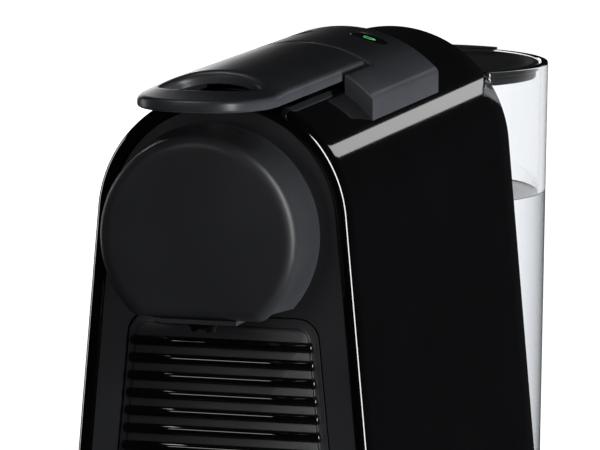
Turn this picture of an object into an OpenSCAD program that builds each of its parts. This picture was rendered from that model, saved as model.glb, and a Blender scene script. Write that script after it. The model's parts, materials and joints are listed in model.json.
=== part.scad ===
// Pod coffee machine: an arched body with a round brew head, a lift-up lever, a control block with
// two buttons, a used-capsule container over a round drip base, and a water tank at the back.
// +X is the machine's left when it faces away; -Y is the front; +Z is up. The origin is on the
// surface that the machine stands on, under the middle of its outer box.

/* [Body] */
// Width of the body where it meets the floor
body_w = 110; // [106:1:114]
// Length of the body from its front rim to its back
body_l = 193.4; // [190:0.2:196]
// Radius of the arched top
arch_r = 40.6; // [40.2:0.1:41]
// Height of the arch's centre above the floor
arch_z = 157.9; // [157:0.1:158.5]
// Wall thickness of the body shell
wall = 2.5; // [2:0.1:3]
// Radius of the rounded front lip
lip_r = 3.5; // [3:0.1:3.5]
// Distance from the origin forward to the front rim
rim_y = 107; // [106:0.5:108]

/* [Brew head] */
// Height of the head's centre above the floor
head_z = 156.4; // [156:0.1:157]
// Radius of the head's back ring
ring_r = 33.3; // [33:0.1:33.6]
// Radius of the round front cover
cover_r = 31.2; // [30.6:0.1:31.6]
// How far the head stands out from the front rim
head_depth = 26; // [25:0.5:27]
// How far below the centre the head is cut flat
head_flat = 24.1; // [23.5:0.1:25]

/* [Lever] */
// Height of the lever's crowned top
crown_top = 204.5; // [204:0.1:205]
// Radius of the crown across the lever and the control block
crown_r = 43.6; // [43:0.1:44]
// Width of the lever
lever_w = 43.2; // [42:0.2:43.4]
// How far the lever's tip stands out from the front rim
lever_tip = 33; // [31:0.5:34]
// Distance from the front rim back to the lever's rear edge
lever_back = 83.5; // [83:0.1:84]
// How far the lever lifts, in degrees
lever_swing = 80; // [70:1:82]

/* [Control block] */
// Width of the control block
block_w = 62.8; // [62:0.2:64]
// Length of the control block
block_l = 79; // [78:0.5:80]
// Distance from the front rim back to the block's front wings
block_start = 56; // [55:0.5:57]
// Diameter of a button
button_d = 11.9; // [11:0.1:12]
// How far a button travels
button_press = 1.2; // [0.8:0.1:1.2]

/* [Capsule container] */
// Height of the top of the container's front
container_top = 129.6; // [128:0.2:130]
// Half width of the container's front at its first louvre
container_half = 30.8; // [30:0.1:31]
// Spacing of the louvres
louvre_pitch = 5.46; // [5:0.02:6]

/* [Drip base] */
// Radius of the drip base's round front
drip_r = 40; // [38:0.5:40]
// Height of the drip base
drip_h = 18; // [17:0.5:18.5]

/* [Water tank] */
// Radius of the tank at its rim
tank_r = 45; // [44:0.2:45]
// Height of the tank's rim above the floor
tank_top = 183.5; // [180:0.5:186]
// Distance from the origin back to the tank's centre
tank_y = 117.5; // [117:0.5:118]

/* [Brewing linkage] */
// Distance from the lever's hinge to its crank pin
crank_r = 9; // [8.5:0.1:9.2]
// Angle of the crank above the horizontal when the lever is down
crank_angle = 15; // [12:1:18]
// Distance from the hinge forward to the cage's pin when the lever is down
cage_pin_ahead = 35; // [34.5:0.1:35.5]

/* [Hidden] */
$fn = 96;
smooth = 32;
eps = 0.01;
front_y = -rim_y;
back_y = front_y + body_l;
// the sides lean outwards below the arch, tangent to it
foot_reach = norm([body_w / 2, arch_z]);
lean = acos(arch_r / foot_reach) - atan2(arch_z, body_w / 2);
shell_bottom = 4;
foot_h = 4;
side_l = 176;
// the crowned top of the lever and of the control block
crown_z = crown_top - crown_r;
crown_wall = 2.3;
// lever
tip_y = front_y - lever_tip;
lever_rear = front_y + lever_back;
lever_low = 195.4;
hinge_y = -31;
hinge_z = 194;
pin_r = 2;
pin_fit = 0.05;
thumb_y = front_y - 9.8;
thumb_half = [14.8, 9.8];
// control block
block_y0 = front_y + block_start;
block_y1 = block_y0 + block_l;
notch_half = lever_w / 2 + 0.8;
button_x = 12.2;
button_y = 12;
button_gap = 0.25;
board_z = 190;
board_t = 1.6;
// opening in the top of the shell, under the lever and the control block
slot_half = 19.6;
slot_y0 = -101;
slot_y1 = 24;
// linkage, in the plane of Y and Z: hinge, crank pin and cage pin with the lever down
crank_pin_y = hinge_y - crank_r * cos(crank_angle);
crank_pin_z = hinge_z + crank_r * sin(crank_angle);
cage_pin_y = hinge_y - cage_pin_ahead;
link_l = norm([cage_pin_y - crank_pin_y, head_z - crank_pin_z]);
link_x0 = 9;
link_x1 = 12;
link_eye = 3.6;
link_foot = 6.5;
link_play = 2.2;
// capsule cage
outlet_z = 131;
cage_y0 = -101;
cage_y1 = -74.5;
cage_r = 20;
capsule_mouth_r = 15.5;
capsule_end_r = 12;
stem_r = 8;
stem_back = -19;
plate_y0 = -104.4;
guide_y0 = -30;
guide_y1 = -20;
// capsule container and its front
box_z = drip_h + 0.1;
box_top = 123;
box_half = 29.5;
box_y0 = -103.4;
box_y1 = -48;
louvre_top = 122.8;
louvre_count = 16;
corner_r = 7;
// drip base
drip_y = -122.5;
drip_back = -62;
drip_low = 1.2;
drip_step = 8;
drip_wall = 1.8;
grid_z = 16.2;
grid_slot = 3;
// tank and dock
tank_low_r = 42.9;
tank_z = 27;
tank_wall = 2.5;
tank_front = back_y + 1;
dock_front = back_y;
dock_z = 26.5;
dock_r = tank_low_r - 2.4;
cord_x = -45;
cord_z = 22;
spigot_y = 108;
spigot_r = 3.5;
valve_r = 7;
// inside the body
pump_x = -20;
pump_z = 46;
pump_y0 = -30;
pump_y1 = 68;
meter_x = 24;
meter_y = 68;
meter_z = 20;
heater_y0 = 20;
heater_y1 = 74;
heater_z0 = 98;
heater_z1 = 150;
board_x = 38;
hose_gap = 0.05;

// ---------- shared shapes ----------

// a flat outline in X and Z, made solid from y0 back to y1
module along_y(y0, y1) {
    translate([0, y1, 0]) rotate([90, 0, 0]) linear_extrude(y1 - y0) children();
}

// a cylinder along Y from y0 to y1
module rod_y(y0, y1, r, x = 0, z = head_z) {
    translate([x, y1, z]) rotate([90, 0, 0]) cylinder(h = y1 - y0, r = r);
}

// a cylinder across the machine, centred on X = 0
module rod_x(half, r, y, z) {
    translate([-half, y, z]) rotate([0, 90, 0]) cylinder(h = 2 * half, r = r);
}

// a box given by its two corners
module block(low, high) {
    translate(low) cube(high - low);
}

// both sides of the machine
module both_sides() {
    children();
    mirror([1, 0, 0]) children();
}

// half width of the body's outline, inset by d, at height z
function side_half(d, z) = (arch_r - d) / cos(lean) + (arch_z - z) * tan(lean);

// the body's outline in X and Z, inset by d, down to z0
module arch_outline(d, z0) {
    r = arch_r - d;
    tangent_z = arch_z + r * sin(lean);
    intersection() {
        translate([0, arch_z]) circle(r = r);
        translate([-r, tangent_z]) square([2 * r, r]);
    }
    polygon([[r * cos(lean), tangent_z], [side_half(d, z0), z0],
        [-side_half(d, z0), z0], [-r * cos(lean), tangent_z]]);
    translate([-r / 2, tangent_z - 1]) square([r, 2]);
}

// sweeps a section over the arch and down both sides: its x is outwards, its y is towards the back
module arch_sweep() {
    translate([0, front_y, arch_z]) {
        rotate([-90, 0, 0]) rotate([0, 0, lean - 180]) rotate_extrude(angle = 180 - 2 * lean)
            translate([arch_r, 0]) children();
        both_sides() rotate([0, -lean, 0]) translate([arch_r, 0, -side_l])
            linear_extrude(side_l) children();
    }
}

// half width of the container's front at height z: it widens with the body's sides
function front_half(z) = container_half + (louvre_top - z) * tan(lean);

// outline of the container's front, grown by d
module container_outline(d, z0) {
    w = front_half(container_top) + d;
    top = container_top + d;
    polygon([[-front_half(z0) - d, z0], [front_half(z0) + d, z0], [w, top - corner_r],
        [w - corner_r, top], [corner_r - w, top], [-w, top - corner_r]]);
    for (s = [-1, 1]) translate([s * (w - corner_r), top - corner_r]) circle(r = corner_r);
}

// everything under the crowned surface, inset by d, from y0 to y1
module under_crown(d, y0, y1, half) {
    intersection() {
        rod_y(y0, y1, crown_r - d, 0, crown_z);
        block([-half, y0, crown_z], [half, y1, crown_top]);
    }
}

// plan of the drip base, inset by d, back to y1
module drip_plan(d, y1) {
    intersection() {
        translate([0, drip_y]) circle(r = drip_r - d);
        translate([d - drip_r, drip_y - drip_r]) square([2 * (drip_r - d), drip_r]);
    }
    translate([d - drip_r, drip_y]) square([2 * (drip_r - d), y1 - drip_y]);
}

// a screw with a domed head, standing on its head
module screw(r, l) {
    cylinder(h = l, r = r * 0.55, $fn = smooth);
    difference() {
        cylinder(h = 1.6, r = r, $fn = smooth);
        for (a = [0, 90]) rotate(a) translate([-r * 0.6, -0.3, -eps]) cube([r * 1.2, 0.6, 0.6]);
    }
}

// one point on a smooth path through the given points, t from 0 to 1
function path_point(p, t) = let (n = len(p) - 1, s = min(t * n, n - eps), i = floor(s), f = s - i,
    a = p[max(i - 1, 0)], b = p[i], c = p[i + 1], d = p[min(i + 2, n)])
    b + f * ((c - a) + f * ((2 * a - 5 * b + 4 * c - d) + f * (3 * b - a - 3 * c + d))) / 2;

// a round hose of radius r along the path, as one polyhedron
module hose(path, r, rings = 22, sides = 10) {
    centres = [for (i = [0:rings]) path_point(path, i / rings)];
    ring = [for (i = [0:rings]) let (t = centres[min(i + 1, rings)] - centres[max(i - 1, 0)],
        n = t / norm(t), u0 = cross(n, [0.31, 0.2, 0.93]), u = u0 / norm(u0), v = cross(n, u))
        for (k = [0:sides - 1]) centres[i] + r * (cos(360 * k / sides) * u + sin(360 * k / sides) * v)];
    lower = [for (i = [0:rings - 1], k = [0:sides - 1]) let (m = (k + 1) % sides)
        [i * sides + k, i * sides + m, (i + 1) * sides + m]];
    upper = [for (i = [0:rings - 1], k = [0:sides - 1]) let (m = (k + 1) % sides)
        [i * sides + k, (i + 1) * sides + m, (i + 1) * sides + k]];
    polyhedron(ring, concat(lower, upper, [[for (k = [sides - 1:-1:0]) k]],
        [[for (k = [0:sides - 1]) rings * sides + k]]));
}

// ---------- casing ----------

module shell_section() {
    translate([-wall, lip_r]) square([wall, body_l - lip_r]);
    intersection() {
        translate([-lip_r, lip_r]) circle(r = lip_r);
        translate([-lip_r, 0]) square(lip_r);
    }
}

module body_shell() {
    color("#0b0b0d") difference() {
        intersection() {
            arch_sweep() shell_section();
            block([-body_w, front_y, shell_bottom], [body_w, back_y, crown_top]);
        }
        block([-slot_half, slot_y0, arch_z], [slot_half, slot_y1, crown_top]);
        block([-notch_half, hinge_y - 12, arch_z], [notch_half, hinge_y + 14, crown_top]);
    }
}

module front_panel() {
    color("#0d0d0f") along_y(front_y + 0.8, front_y + 3.3) difference() {
        arch_outline(lip_r + 0.1, shell_bottom);
        intersection() {
            translate([0, head_z]) circle(r = 28);
            translate([-28, head_z - head_flat]) square(56);
        }
        container_outline(0.4, 0);
    }
}

module rear_panel() {
    color("#141416") difference() {
        along_y(back_y - 3, back_y) arch_outline(wall + 0.1, shell_bottom);
        rod_y(back_y - 4, back_y + 1, 4.5, cord_x, cord_z);
        rod_y(back_y - 4, back_y + 1, 5, meter_x, 30);
        for (i = [0:6]) block([-18, back_y - 4, 120 + 6 * i], [18, back_y + 1, 122.5 + 6 * i]);
    }
}

module base_plate() {
    color("#18181a") difference() {
        block([-51.2, front_y + 4, foot_h], [51.2, back_y - 3.2, foot_h + 3]);
        for (x = [-47, 47], y = [-70, 60]) translate([x, y, 0]) cylinder(h = 9, r = 1.7);
        for (i = [0:7]) block([-14, -10 + 8 * i, 0], [14, -7 + 8 * i, 9]);
    }
}

module rubber_feet() {
    spots = [[-42, -94], [42, -94], [-42, 76], [42, 76], [-20, 146], [20, 146]];
    color("#26262a") for (s = spots) translate([s[0], s[1], 0]) {
        cylinder(h = 1, r1 = 4.6, r2 = 5.4);
        translate([0, 0, 1]) cylinder(h = foot_h - 1, r = 5.4);
    }
}

module base_screws() {
    color("silver") for (x = [-47, 47], y = [-70, 60]) translate([x, y, foot_h - 1.7]) screw(3, 9);
}

module panel_screws() {
    spots = [[36.3, 140], [42, 60]];
    color("silver") both_sides() for (p = spots) translate([p[0], back_y + 1.6, p[1]])
        rotate([90, 0, 0]) screw(2.4, 1.6);
}

// ---------- brew head ----------

module head_ring() {
    flat_z = head_z - head_flat + 2;
    color("#2c2c2e") difference() {
        translate([0, front_y - 1, head_z]) rotate([90, 0, 0]) rotate_extrude()
            polygon([[27.2, -1.6], [29.2, -1.6], [29.2, 6.6], [ring_r, 7.6], [ring_r - 0.5, 9],
                [cover_r - 0.6, head_depth - 4.9], [cover_r - 3, head_depth - 4.9],
                [cover_r - 1.6, 9.6], [27.2, 8]]);
        block([-40, front_y - 40, 100], [40, front_y + 2, flat_z]);
    }
}

module head_cover() {
    edge = 3;
    cover_t = 3.9;
    color("#151618") difference() {
        translate([0, front_y - head_depth + cover_t, head_z]) rotate([90, 0, 0]) rotate_extrude()
            polygon(concat([[0, 0], [cover_r, 0]], [for (a = [0:15:90])
                [cover_r - edge * (1 - cos(a)), cover_t - edge * (1 - sin(a))]], [[0, cover_t]]));
        block([-40, front_y - 40, 100], [40, front_y, head_z - head_flat]);
    }
}

module brew_head() {
    color("#3a3a3c") difference() {
        rod_y(front_y - head_depth + 4.2, plate_y0, 26.8);
        rod_y(front_y - 12, plate_y0 + eps, 16);
        translate([0, front_y - 10, 120]) cylinder(h = 30, r = 3);
        block([-40, front_y - 40, 100], [40, front_y + 20, head_z - head_flat + 0.4]);
    }
}

module coffee_outlet() {
    color("#101113") difference() {
        block([-12, front_y - 24.5, outlet_z], [12, front_y - 2, head_z - head_flat]);
        translate([0, front_y - 10, 120]) cylinder(h = 30, r = 3);
        translate([0, front_y - 19, 120]) cylinder(h = 30, r = 3.4);
        block([-2.5, front_y - 19, outlet_z + 0.5], [2.5, front_y - 10, 140]);
    }
}

module outlet_nozzle() {
    color("#101113") translate([0, front_y - 19, outlet_z - 0.8]) difference() {
        union() {
            cylinder(h = 0.8, r1 = 4.4, r2 = 5);
            cylinder(h = 2, r = 3.4);
        }
        translate([0, 0, -eps]) cylinder(h = 6, r = 2);
    }
}

module perforated_plate() {
    color("silver") difference() {
        rod_y(plate_y0, cage_y0 - 0.5, 19);
        for (i = [-2:2], k = [-2:2]) if (norm([i, k]) < 2.6)
            rod_y(plate_y0 - 1, cage_y0, 0.9, i * 5, head_z + k * 5, $fn = smooth);
    }
}

module hinge_ear() {
    difference() {
        union() {
            rod_x(3.5 / 2, 5, hinge_y, hinge_z);
            block([-1.75, hinge_y - 4.6, 172], [1.75, hinge_y + 2, hinge_z]);
            block([-1.75, hinge_y - 4.6, 170], [1.75, guide_y1, 178]);
        }
        rod_x(3, pin_r, hinge_y, hinge_z);
    }
}

module brew_frame() {
    color("#55565a") difference() {
        union() {
            both_sides() block([21.4, -103.6, 143.6], [24, guide_y1, 169.2]);
            block([-24, guide_y0, 143.6], [24, guide_y1, 172]);
            both_sides() translate([6.75, 0, 0]) hinge_ear();
        }
        rod_y(guide_y0 - 1, guide_y1 + 1, stem_r + pin_fit);
    }
}

module frame_screws() {
    color("silver") both_sides() for (y = [-90, -50]) translate([25.6, y, head_z])
        rotate([0, -90, 0]) screw(2.6, 1.6);
}

module hinge_pin() {
    color("lightgrey") rod_x(8.5, pin_r, hinge_y, hinge_z);
}

// ---------- control block ----------

// the space that the lever's rear edge sweeps as it lifts: a solid of revolution about the hinge
module lever_sweep(gap) {
    reach = [for (x = [-21:3:21]) let (top = crown_z + sqrt(crown_r * crown_r - x * x))
        [norm([lever_rear - hinge_y, top - hinge_z]) + gap, x]];
    translate([0, hinge_y, hinge_z]) rotate([0, 90, 0]) rotate_extrude()
        polygon(concat([[0, -notch_half], [reach[0][0], -notch_half]], reach,
            [[reach[0][0], notch_half], [0, notch_half]]));
}

module control_cover() {
    color("#101013") {
        difference() {
            under_crown(0, block_y0, block_y1, block_w / 2);
            along_y(block_y0 - 1, block_y1 + 1) arch_outline(0, crown_z - 10);
            under_crown(crown_wall, lever_rear + 4, block_y1 - 2, slot_half);
            block([-notch_half, block_y0 - 1, crown_z], [notch_half, lever_rear + 1, crown_top + 1]);
            lever_sweep(0.9);
            for (s = [-1, 1]) translate([s * button_x, button_y, 190])
                cylinder(h = 20, r = button_d / 2 + button_gap);
        }
        for (x = [-15, 15], y = [-2.5, 21.5]) block([x - 1.5, y - 1.5, board_z + board_t],
            [x + 1.5, y + 1.5, crown_z + sqrt(pow(crown_r - crown_wall, 2) - 256) + 0.3]);
    }
}

module control_board() {
    color("#1d6b3c") block([-18, -6, board_z], [18, 23.4, board_z + board_t]);
}

module tact_switches() {
    color("#222222") for (s = [-1, 1]) translate([s * button_x, button_y, board_z + board_t]) {
        translate([-3, -3, 0]) cube([6, 6, 2.6]);
        cylinder(h = 3.6, r = 1.6, $fn = smooth);
    }
}

module status_leds() {
    color("#9fe8a8") for (s = [-1, 1]) translate([s * button_x, button_y - 6, board_z + board_t])
        cylinder(h = 2.4, r = 1.5, $fn = smooth);
}

module button(side) {
    drop = 197.4;
    translate([side * button_x, button_y, drop - 0.8]) cylinder(h = 0.9, r = button_d / 2 + 0.8);
    intersection() {
        translate([side * button_x, button_y, drop]) cylinder(h = 10, r = button_d / 2);
        under_crown(0, 0, 24, 30);
    }
}

module espresso_button() { color("#17181b") button(-1); }
module lungo_button() { color("#17181b") button(1); }

// ---------- lever and linkage ----------

module lever_plan() {
    half = lever_w / 2;
    shoulder = 22;
    steps = 20;
    polygon(concat([[half, lever_rear], [-half, lever_rear]],
        [for (i = [0:steps]) let (a = 180 + 180 * i / steps)
            [half * sign(cos(a)) * pow(abs(cos(a)), 0.75), tip_y + shoulder + shoulder * sin(a)]]));
}

module thumb_plan() {
    polygon([for (a = [0:10:350]) [thumb_half[0] * cos(a), thumb_y + thumb_half[1] * sin(a)]]);
}

// a half space under a plane that rises from the lever's tip towards the back
module below_slope(tip_top, rise) {
    translate([0, tip_y, tip_top]) rotate([rise, 0, 0]) translate([-40, -10, -30]) cube([80, 60, 30]);
}

module lever_cover() {
    slope = atan2(crown_top - 199, lever_tip);
    color("#2b2c30") difference() {
        intersection() {
            under_crown(0, tip_y, lever_rear, lever_w / 2);
            translate([0, 0, lever_low]) linear_extrude(20) lever_plan();
            union() {
                below_slope(199, slope);
                block([-40, front_y, 180], [40, 0, 210]);
            }
        }
        under_crown(crown_wall, front_y + 2, lever_rear + 1, lever_w / 2 - 2.2);
        intersection() {
            below_slope(lever_low + 0.2, slope);
            translate([0, 0, 190]) linear_extrude(20) intersection() {
                translate([0, 2.4]) lever_plan();
                translate([-19, tip_y]) square([38, lever_tip + 3]);
            }
        }
        translate([0, 0, 180]) linear_extrude(40) thumb_plan();
    }
}

module lever_frame() {
    color("#4a4b4f") difference() {
        union() {
            difference() {
                under_crown(crown_wall + 0.1, front_y + 4, hinge_y + 1, 18.4);
                under_crown(crown_wall + 2, front_y, hinge_y + 2, 20);
                both_sides() block([link_x0 - 0.6, -47, 190], [link_x1 + 0.6, 0, 210]);
            }
            rod_x(4.5, 4.8, hinge_y, hinge_z);
            rod_x(4.5, 3.6, crank_pin_y, crank_pin_z);
            block([-4.5, crank_pin_y, hinge_z], [4.5, hinge_y, 200.6]);
            rod_x(8.4, 3, crank_pin_y, crank_pin_z);
        }
        rod_x(10, pin_r + pin_fit, hinge_y, hinge_z);
        rod_x(10, pin_r, crank_pin_y, crank_pin_z);
    }
}

module crank_pin() {
    color("lightgrey") rod_x(link_x1 + 0.3, pin_r, crank_pin_y, crank_pin_z);
}

module link_arm() {
    turn = atan2(crank_pin_y - cage_pin_y, crank_pin_z - head_z);
    translate([link_x0, cage_pin_y, head_z]) rotate([-turn, 0, 0]) rotate([90, 0, 90])
        linear_extrude(link_x1 - link_x0) difference() {
            union() {
                translate([0, link_l]) circle(r = link_eye);
                circle(r = link_foot);
                translate([-2.8, 0]) square([5.6, link_l]);
            }
            translate([0, link_l]) circle(r = pin_r + pin_fit);
            circle(r = pin_r + link_play);
        }
}

module link_arms() {
    color("#8c8d90") both_sides() link_arm();
}

module capsule_cage() {
    color("#2a2a2c") difference() {
        rod_y(cage_y0, cage_y1, cage_r);
        translate([0, cage_y0 - eps, head_z]) rotate([-90, 0, 0])
            cylinder(h = 24, r1 = capsule_mouth_r, r2 = capsule_end_r);
    }
}

module cage_stem() {
    color("#9a9b9e") difference() {
        rod_y(cage_y1, stem_back, stem_r);
        rod_x(10, pin_r, cage_pin_y, head_z);
        rod_y(cage_pin_y + 6, stem_back + 1, 1.5);
    }
}

module injector_plate() {
    color("silver") {
        rod_y(cage_y0 + 22.4, cage_y0 + 24 - eps, 11.5);
        for (a = [90, 210, 330]) translate([7 * cos(a), cage_y0 + 22.4, head_z + 7 * sin(a)])
            rotate([90, 0, 0]) cylinder(h = 5, r1 = 1.5, r2 = 0.3);
    }
}

module cage_pin() {
    color("lightgrey") rod_x(link_x1 + 0.3, pin_r, cage_pin_y, head_z);
}

module cage_seal() {
    color("#7a2d22") difference() {
        rod_y(cage_y0 - 0.4, cage_y0, 18.4);
        rod_y(cage_y0 - 1, cage_y0 + 1, 16);
    }
}

// ---------- inside the body ----------

module inner_bulkhead() {
    color("#1b1b1d") {
        both_sides() block([41, front_y + 4, foot_h + 3], [43.5, box_y1 + 4, 30]);
        block([-43.5, box_y1 + 1.5, foot_h + 3], [43.5, box_y1 + 4, 90]);
    }
}

module thermoblock() {
    color("#b4b6b8") difference() {
        block([-26, heater_y0, heater_z0], [26, heater_y1, heater_z1]);
        for (i = [0:4]) both_sides() block([20, heater_y0 - 1, heater_z0 + 7 + 9 * i],
            [30, heater_y1 + 1, heater_z0 + 10 + 9 * i]);
        rod_y(heater_y0 - 1, heater_y0 + 12, 3, 0, 140);
        rod_y(heater_y0 - 1, heater_y0 + 12, 3, -12, 108);
    }
}

module thermal_fuses() {
    color("#c8b48a") for (x = [-8, 10]) translate([x, 48, heater_z1]) {
        cylinder(h = 2, r = 6);
        cylinder(h = 5, r = 4);
    }
}

module thermoblock_ports() {
    color("#c9a227") for (p = [[0, 140], [-12, 108]]) difference() {
        rod_y(heater_y0 - 8, heater_y0 + 12, 3, p[0], p[1]);
        rod_y(heater_y0 - 9, heater_y0 + 13, 1.4, p[0], p[1]);
    }
}

module pump_body() {
    color("#c9c3b2") difference() {
        union() {
            rod_y(pump_y0, pump_y1 - 14, 11, pump_x, pump_z);
            rod_y(pump_y1 - 14, pump_y1, 5, pump_x, pump_z);
            rod_y(pump_y0 - 6, pump_y0, 4, pump_x, pump_z);
        }
        rod_y(pump_y0 + 12, pump_y1 - 16, 6.05, pump_x, pump_z);
        rod_y(pump_y0 - 9, pump_y1 + 1, 1.6, pump_x, pump_z);
    }
}

module pump_coil() {
    color("#3b3b3f") difference() {
        block([pump_x - 17, pump_y0 + 20, pump_z - 17], [pump_x + 17, pump_y0 + 60, pump_z + 17]);
        rod_y(pump_y0 + 19, pump_y0 + 61, 11, pump_x, pump_z);
    }
}

module pump_mounts() {
    color("#202022") for (y = [pump_y0 + 2, pump_y1 - 24]) difference() {
        union() {
            rod_y(y, y + 6, 15, pump_x, pump_z);
            block([pump_x - 12, y, foot_h + 3], [pump_x + 12, y + 6, pump_z]);
        }
        rod_y(y - 1, y + 7, 11, pump_x, pump_z);
    }
}

module pump_piston() {
    color("#8e9094") rod_y(pump_y0 + 18, pump_y0 + 50, 6, pump_x, pump_z);
}

// a coil of round wire along Y
module coil_y(y0, y1, r, wire, turns, x, z) {
    steps = 14;
    hose([for (i = [0:turns * steps]) [x + r * cos(360 * i / steps),
        y0 + (y1 - y0) * i / (turns * steps), z + r * sin(360 * i / steps)]],
        wire, turns * steps, 6);
}

module pump_spring() {
    color("silver") coil_y(pump_y0 + 51, pump_y1 - 17.2, 4.6, 0.6, 5, pump_x, pump_z);
}

module flow_meter_body() {
    color("#e6e2d6") translate([meter_x, meter_y, meter_z]) difference() {
        union() {
            cylinder(h = 15, r = 12);
            translate([0, 0, 10]) rotate([-90, 0, 0]) cylinder(h = 15, r = 3);
            translate([-15, 0, 10]) rotate([0, 90, 0]) cylinder(h = 15, r = 3);
            translate([-6, -6, foot_h + 3 - meter_z]) cube([12, 12, meter_z - foot_h - 3]);
        }
        translate([0, 0, 3]) cylinder(h = 13, r = 9.5);
    }
}

module flow_meter_cap() {
    color("#d8d2c0") translate([meter_x, meter_y, meter_z + 15]) difference() {
        cylinder(h = 3, r = 12);
        translate([0, 0, -eps]) cylinder(h = 1.2, r = 1.05, $fn = smooth);
    }
}

module flow_meter_rotor() {
    color("#3aa0c8") translate([meter_x, meter_y, meter_z + 3.4]) {
        cylinder(h = 9.4, r = 2.4);
        cylinder(h = 12.4, r = 1, $fn = smooth);
        for (i = [0:5]) rotate(60 * i) translate([2, -0.5, 1]) cube([6, 1, 8]);
    }
}

module power_board() {
    color("#1d6b3c") block([board_x, -20, 18], [board_x + 1.6, 62, 84]);
}

module board_parts() {
    color("#2f3034") {
        block([board_x - 14, -12, 56], [board_x, 8, 72]);
        block([board_x - 10, 14, 50], [board_x, 30, 74]);
        for (y = [-8, 8, 24]) translate([board_x - 14, y, 34]) rotate([0, 90, 0])
            cylinder(h = 14, r = 6);
    }
}

module suction_hose() {
    x = meter_x - 15 - hose_gap;
    y = pump_y1 + hose_gap;
    color("#d9d9d2") hose([[x, meter_y, meter_z + 10], [x - 1.5, meter_y, meter_z + 10],
        [x - 3, meter_y, meter_z + 10], [x - 9, meter_y + 2, meter_z + 12], [pump_x + 6, y + 9, pump_z - 4],
        [pump_x, y + 8, pump_z], [pump_x, y + 4, pump_z], [pump_x, y + 2, pump_z], [pump_x, y, pump_z]], 3, 32);
}

module pressure_hose() {
    y = pump_y0 - 6 - hose_gap;
    port = heater_y0 - 8 - hose_gap;
    color("#d9d9d2") hose([[pump_x, y, pump_z], [pump_x, y - 0.7, pump_z], [pump_x, y - 1.4, pump_z],
        [pump_x, y - 4.2, pump_z + 3.4],
        [pump_x + 1, y - 2, pump_z + 16], [pump_x + 3, -24, 84], [-14, -8, 102], [-12, port - 6, 108],
        [-12, port - 4, 108], [-12, port - 2, 108], [-12, port, 108]], 3, 32);
}

module brew_hose() {
    port = heater_y0 - 8 - hose_gap;
    color("#d9d9d2") hose([[0, port, 140], [0, port - 2, 140], [0, port - 4, 140], [0, port - 8, 139.4],
        [0, port - 17, 142], [0, stem_back + 10, 149], [0, stem_back + 9, head_z - 1], [0, stem_back + 5, head_z],
        [0, stem_back + 3, head_z], [0, stem_back + 1.5, head_z], [0, stem_back + hose_gap, head_z]], 2.6, 32);
}

// ---------- tank dock and cord inlet ----------

module dock_plan(d) {
    intersection() {
        translate([0, tank_y]) circle(r = dock_r - d);
        translate([-60, dock_front + d]) square([120, 90]);
    }
}

module tank_dock() {
    color("#141416") difference() {
        translate([0, 0, foot_h]) linear_extrude(dock_z - foot_h) dock_plan(0);
        translate([0, 0, foot_h + 2.4]) linear_extrude(dock_z - foot_h - 5) dock_plan(2.2);
        translate([0, spigot_y, dock_z - 5]) cylinder(h = 10, r = spigot_r);
    }
}

module dock_spigot() {
    color("#8a8c90") translate([0, spigot_y, dock_z - 6]) difference() {
        union() {
            cylinder(h = 3.4, r = 6);
            cylinder(h = 13, r = spigot_r);
        }
        translate([0, 0, -eps]) cylinder(h = 20, r = 1.8);
    }
}

module dock_seal() {
    color("#7a2d22") translate([0, spigot_y, dock_z]) difference() {
        cylinder(h = 0.4, r = 6);
        translate([0, 0, -eps]) cylinder(h = 2, r = spigot_r);
    }
}

module cord_gland() {
    color("#1a1a1c") difference() {
        union() {
            rod_y(back_y - 5, back_y, 4.5, cord_x, cord_z);
            rod_y(back_y, back_y + 3, 5.4, cord_x, cord_z);
        }
        rod_y(back_y - 6, back_y + 4, 3, cord_x, cord_z);
    }
}

// ---------- parts that lift or slide out ----------

module capsule_container() {
    color("#161618") difference() {
        block([-box_half, box_y0, box_z], [box_half, box_y1, box_top]);
        block([2 - box_half, box_y0 + 2, box_z + 2], [box_half - 2, box_y1 - 2, box_top + 1]);
    }
}

module container_front() {
    color("#101012") {
        along_y(front_y + 1, box_y0) container_outline(0, box_z);
        along_y(front_y - 0.4, front_y + 1) container_outline(-2.2, box_z);
        for (i = [0:louvre_count]) let (z = louvre_top - louvre_pitch * i, w = front_half(z) - 0.8)
            translate([-w, front_y - 0.4, z - 1.6]) rotate([0, 90, 0]) translate([0, 0, 0])
                cylinder(h = 2 * w, r = 1.6);
    }
}

module drip_tray() {
    color("#111113") difference() {
        union() {
            translate([0, 0, drip_low]) linear_extrude(drip_h - drip_low) drip_plan(0, front_y - 0.6);
            translate([0, 0, drip_step]) linear_extrude(drip_h - drip_step) drip_plan(0.4, drip_back);
        }
        translate([0, 0, drip_low + 2]) linear_extrude(20) drip_plan(drip_wall + 1.6, front_y - 2.6);
        translate([0, 0, drip_step + 2]) linear_extrude(20) drip_plan(drip_wall + 2, drip_back - 2.4);
        translate([0, 0, grid_z]) linear_extrude(20) drip_plan(drip_wall, front_y - 2);
    }
}

module drip_grid() {
    color("#1c1c1f") translate([0, 0, grid_z]) difference() {
        linear_extrude(drip_h - grid_z) drip_plan(drip_wall + 0.3, front_y - 2.4);
        for (i = [-5:5]) translate([6 * i - grid_slot / 2, drip_y - 26 + abs(i) * 2.6, -1])
            cube([grid_slot, 34 - abs(i) * 2.6, 6]);
    }
}

module tank_solid(d, z0, z1) {
    slope = (tank_r - tank_low_r) / (tank_top - tank_z);
    intersection() {
        translate([0, tank_y, z0]) cylinder(h = z1 - z0, r1 = tank_low_r - d + slope * (z0 - tank_z),
            r2 = tank_low_r - d + slope * (z1 - tank_z));
        block([-60, tank_front + d, z0], [60, 180, z1]);
    }
}

module water_tank() {
    color("#dfe6ea", 0.35) difference() {
        tank_solid(0, tank_z, tank_top);
        tank_solid(tank_wall, tank_z + tank_wall, tank_top + 1);
        translate([0, spigot_y, tank_z - 1]) cylinder(h = 6, r = valve_r);
    }
}

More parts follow.
